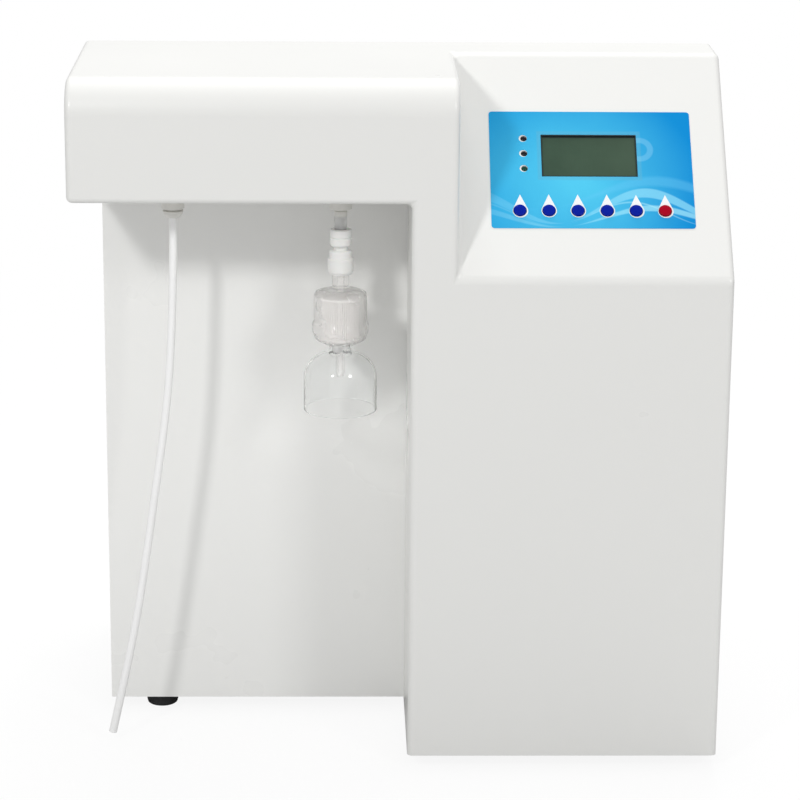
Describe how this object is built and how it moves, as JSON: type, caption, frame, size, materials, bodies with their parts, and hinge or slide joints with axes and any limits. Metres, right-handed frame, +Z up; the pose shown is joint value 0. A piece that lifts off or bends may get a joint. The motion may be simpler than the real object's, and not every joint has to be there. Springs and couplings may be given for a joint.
{
  "type": "ultrapure water system",
  "caption": "Bench-top water purifier with an overhanging dispensing head, sloped control panel with six push buttons, a tube outlet and a capsule filter outlet.",
  "frame": {"origin": "centre of the footprint, on the bench under the feet", "axes": "+Z up, -Y out of the front face, +X to the right seen from the front"},
  "size_m": [0.5, 0.36, 0.544],
  "materials": {
    "shell_white": "gloss moulded plastic",
    "cabinet_white": "smooth white powder coat",
    "sheet_steel": "zinc-plated sheet",
    "screw_steel": "bright plated",
    "rubber_black": "matt moulded rubber",
    "film_blue": "printed polyester film",
    "clear_plastic": "clear moulded plastic",
    "display_black": "dark display glass and frame",
    "board_green": "solder-masked board",
    "cap_blue": "moulded cap",
    "cap_red": "moulded cap",
    "lamp_dark": "tinted lamp lens",
    "fitting_white": "acetal fitting",
    "fitting_cream": "natural nylon",
    "tube_natural": "translucent polyethylene tube",
    "filter_media": "pleated membrane",
    "works_black": "glass-filled plastic"
  },
  "bodies": {
    "case": {"fascia": "shell_white", "bay_panel": "cabinet_white", "cabinet_cover": "cabinet_white", "rear_panel": "cabinet_white", "floor_tray": "sheet_steel", "rubber_feet": "rubber_black", "foot_screws": "screw_steel", "case_screws": "screw_steel", "mounting_plate": "sheet_steel", "panel_film": "film_blue", "display_lens": "clear_plastic", "display_module": "display_black", "control_board": "board_green", "board_screws": "screw_steel", "key_switches": "works_black", "status_lamps": "lamp_dark", "tube_outlet_fitting": "fitting_cream", "filter_outlet_fitting": "fitting_cream", "outlet_nuts": "fitting_cream", "outlet_valves": "fitting_white", "dispense_tube": "tube_natural", "filter_stub": "tube_natural", "union_nut": "fitting_white", "pretreatment_cartridge": "fitting_white", "polishing_cartridge": "fitting_cream", "cartridge_clips": "works_black", "ro_housing": "fitting_white", "ro_cap": "fitting_white", "ro_membrane": "filter_media", "ro_clips": "works_black", "uv_reactor": "sheet_steel", "uv_end_caps": "works_black", "uv_lamp": "clear_plastic", "uv_clips": "works_black", "uv_ballast": "fitting_white", "pump_heads": "works_black", "pump_motors": "sheet_steel", "pump_brackets": "sheet_steel", "pump_grommets": "rubber_black", "power_supply": "sheet_steel", "line_valves": "fitting_white", "raw_tubing": "tube_natural", "product_tubing": "tube_natural", "wiring": "works_black", "rear_ports": "fitting_white", "power_inlet": "works_black"},
    "button_1": {"button_1": "cap_blue"},
    "button_2": {"button_2": "cap_blue"},
    "button_3": {"button_3": "cap_blue"},
    "button_4": {"button_4": "cap_blue"},
    "button_5": {"button_5": "cap_blue"},
    "button_6": {"button_6": "cap_red"},
    "rocker": {"power_rocker": "works_black"},
    "final_filter": {"filter_adapter": "fitting_white", "filter_capsule": "clear_plastic", "filter_core": "filter_media"},
    "bell": {"filter_bell": "clear_plastic"},
    "booster_rotor": {"booster_shaft": "screw_steel"},
    "delivery_rotor": {"delivery_shaft": "screw_steel"}
  },
  "joints": [
    {"name": "button_1_press", "type": "slide", "parent": "case", "child": "button_1", "axis": [0, 0.7218, -0.6921], "range_m": [0, 0.001], "stiffness_N_per_m": 500, "springref_m": -0.001},
    {"name": "button_2_press", "type": "slide", "parent": "case", "child": "button_2", "axis": [0, 0.7218, -0.6921], "range_m": [0, 0.001], "stiffness_N_per_m": 500, "springref_m": -0.001},
    {"name": "button_3_press", "type": "slide", "parent": "case", "child": "button_3", "axis": [0, 0.7218, -0.6921], "range_m": [0, 0.001], "stiffness_N_per_m": 500, "springref_m": -0.001},
    {"name": "button_4_press", "type": "slide", "parent": "case", "child": "button_4", "axis": [0, 0.7218, -0.6921], "range_m": [0, 0.001], "stiffness_N_per_m": 500, "springref_m": -0.001},
    {"name": "button_5_press", "type": "slide", "parent": "case", "child": "button_5", "axis": [0, 0.7218, -0.6921], "range_m": [0, 0.001], "stiffness_N_per_m": 500, "springref_m": -0.001},
    {"name": "button_6_press", "type": "slide", "parent": "case", "child": "button_6", "axis": [0, 0.7218, -0.6921], "range_m": [0, 0.001], "stiffness_N_per_m": 500, "springref_m": -0.001},
    {"name": "rocker_tilt", "type": "hinge", "parent": "case", "child": "rocker", "pos_m": [-0.16, 0.1645, 0.1165], "axis": [1, 0, 0], "range_deg": [-18, 0]},
    {"name": "filter_turn", "type": "hinge", "parent": "case", "child": "final_filter", "pos_m": [-0.046, -0.12, 0.404], "axis": [0, 0, 1], "continuous": true},
    {"name": "bell_pull", "type": "slide", "parent": "final_filter", "child": "bell", "axis": [0, 0, -1], "range_m": [0, 0.03]},
    {"name": "booster_spin", "type": "hinge", "parent": "case", "child": "booster_rotor", "pos_m": [0.08, -0.04, 0.071], "axis": [0, 1, 0], "continuous": true},
    {"name": "delivery_spin", "type": "hinge", "parent": "case", "child": "delivery_rotor", "pos_m": [0.185, -0.04, 0.071], "axis": [0, 1, 0], "continuous": true}
  ]
}
